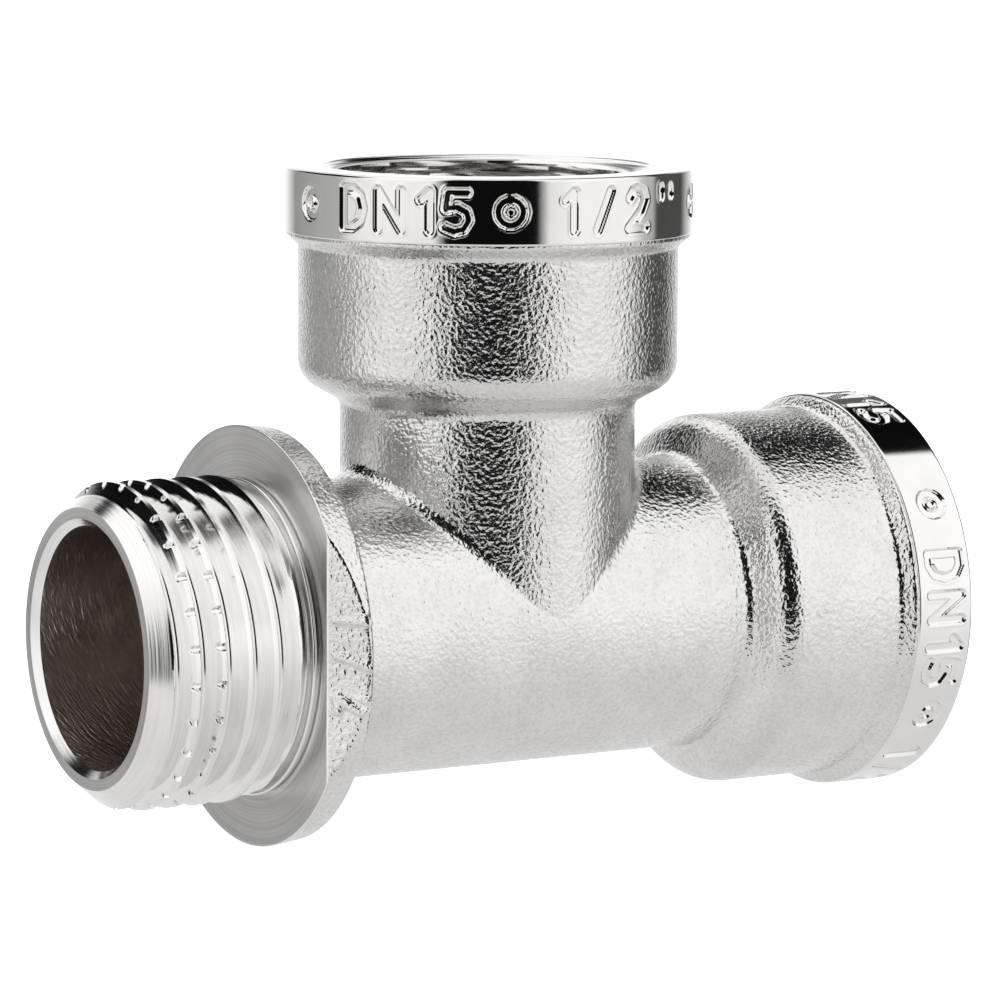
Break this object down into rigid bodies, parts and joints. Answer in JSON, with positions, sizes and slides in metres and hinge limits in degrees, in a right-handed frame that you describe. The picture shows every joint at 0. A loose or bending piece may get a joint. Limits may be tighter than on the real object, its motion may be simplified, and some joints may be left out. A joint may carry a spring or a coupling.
{
  "type": "threaded pipe tee",
  "caption": "Half-inch threaded pipe tee with a male end and a stop flange opposite one female socket, and a second female socket on the branch, in nickel-plated brass.",
  "frame": {"origin": "where the run axis and the branch axis cross", "axes": "+X along the run, out of the female run socket, so the male thread points to -X; +Z along the branch, out of the branch socket"},
  "size_m": [0.059, 0.0268, 0.0434],
  "materials": {
    "forged_nickel": "satin, grit-blasted nickel plate over forged brass",
    "polished_nickel": "mirror-polished nickel plate",
    "machined_nickel": "bright turned nickel plate with fine lathe lines"
  },
  "bodies": {
    "root": {"male_thread": "machined_nickel", "thread_relief": "machined_nickel", "stop_flange": "forged_nickel", "tee_body": "forged_nickel", "run_socket": "forged_nickel", "branch_socket": "forged_nickel", "run_collar": "polished_nickel", "branch_collar": "polished_nickel"}
  },
  "joints": []
}
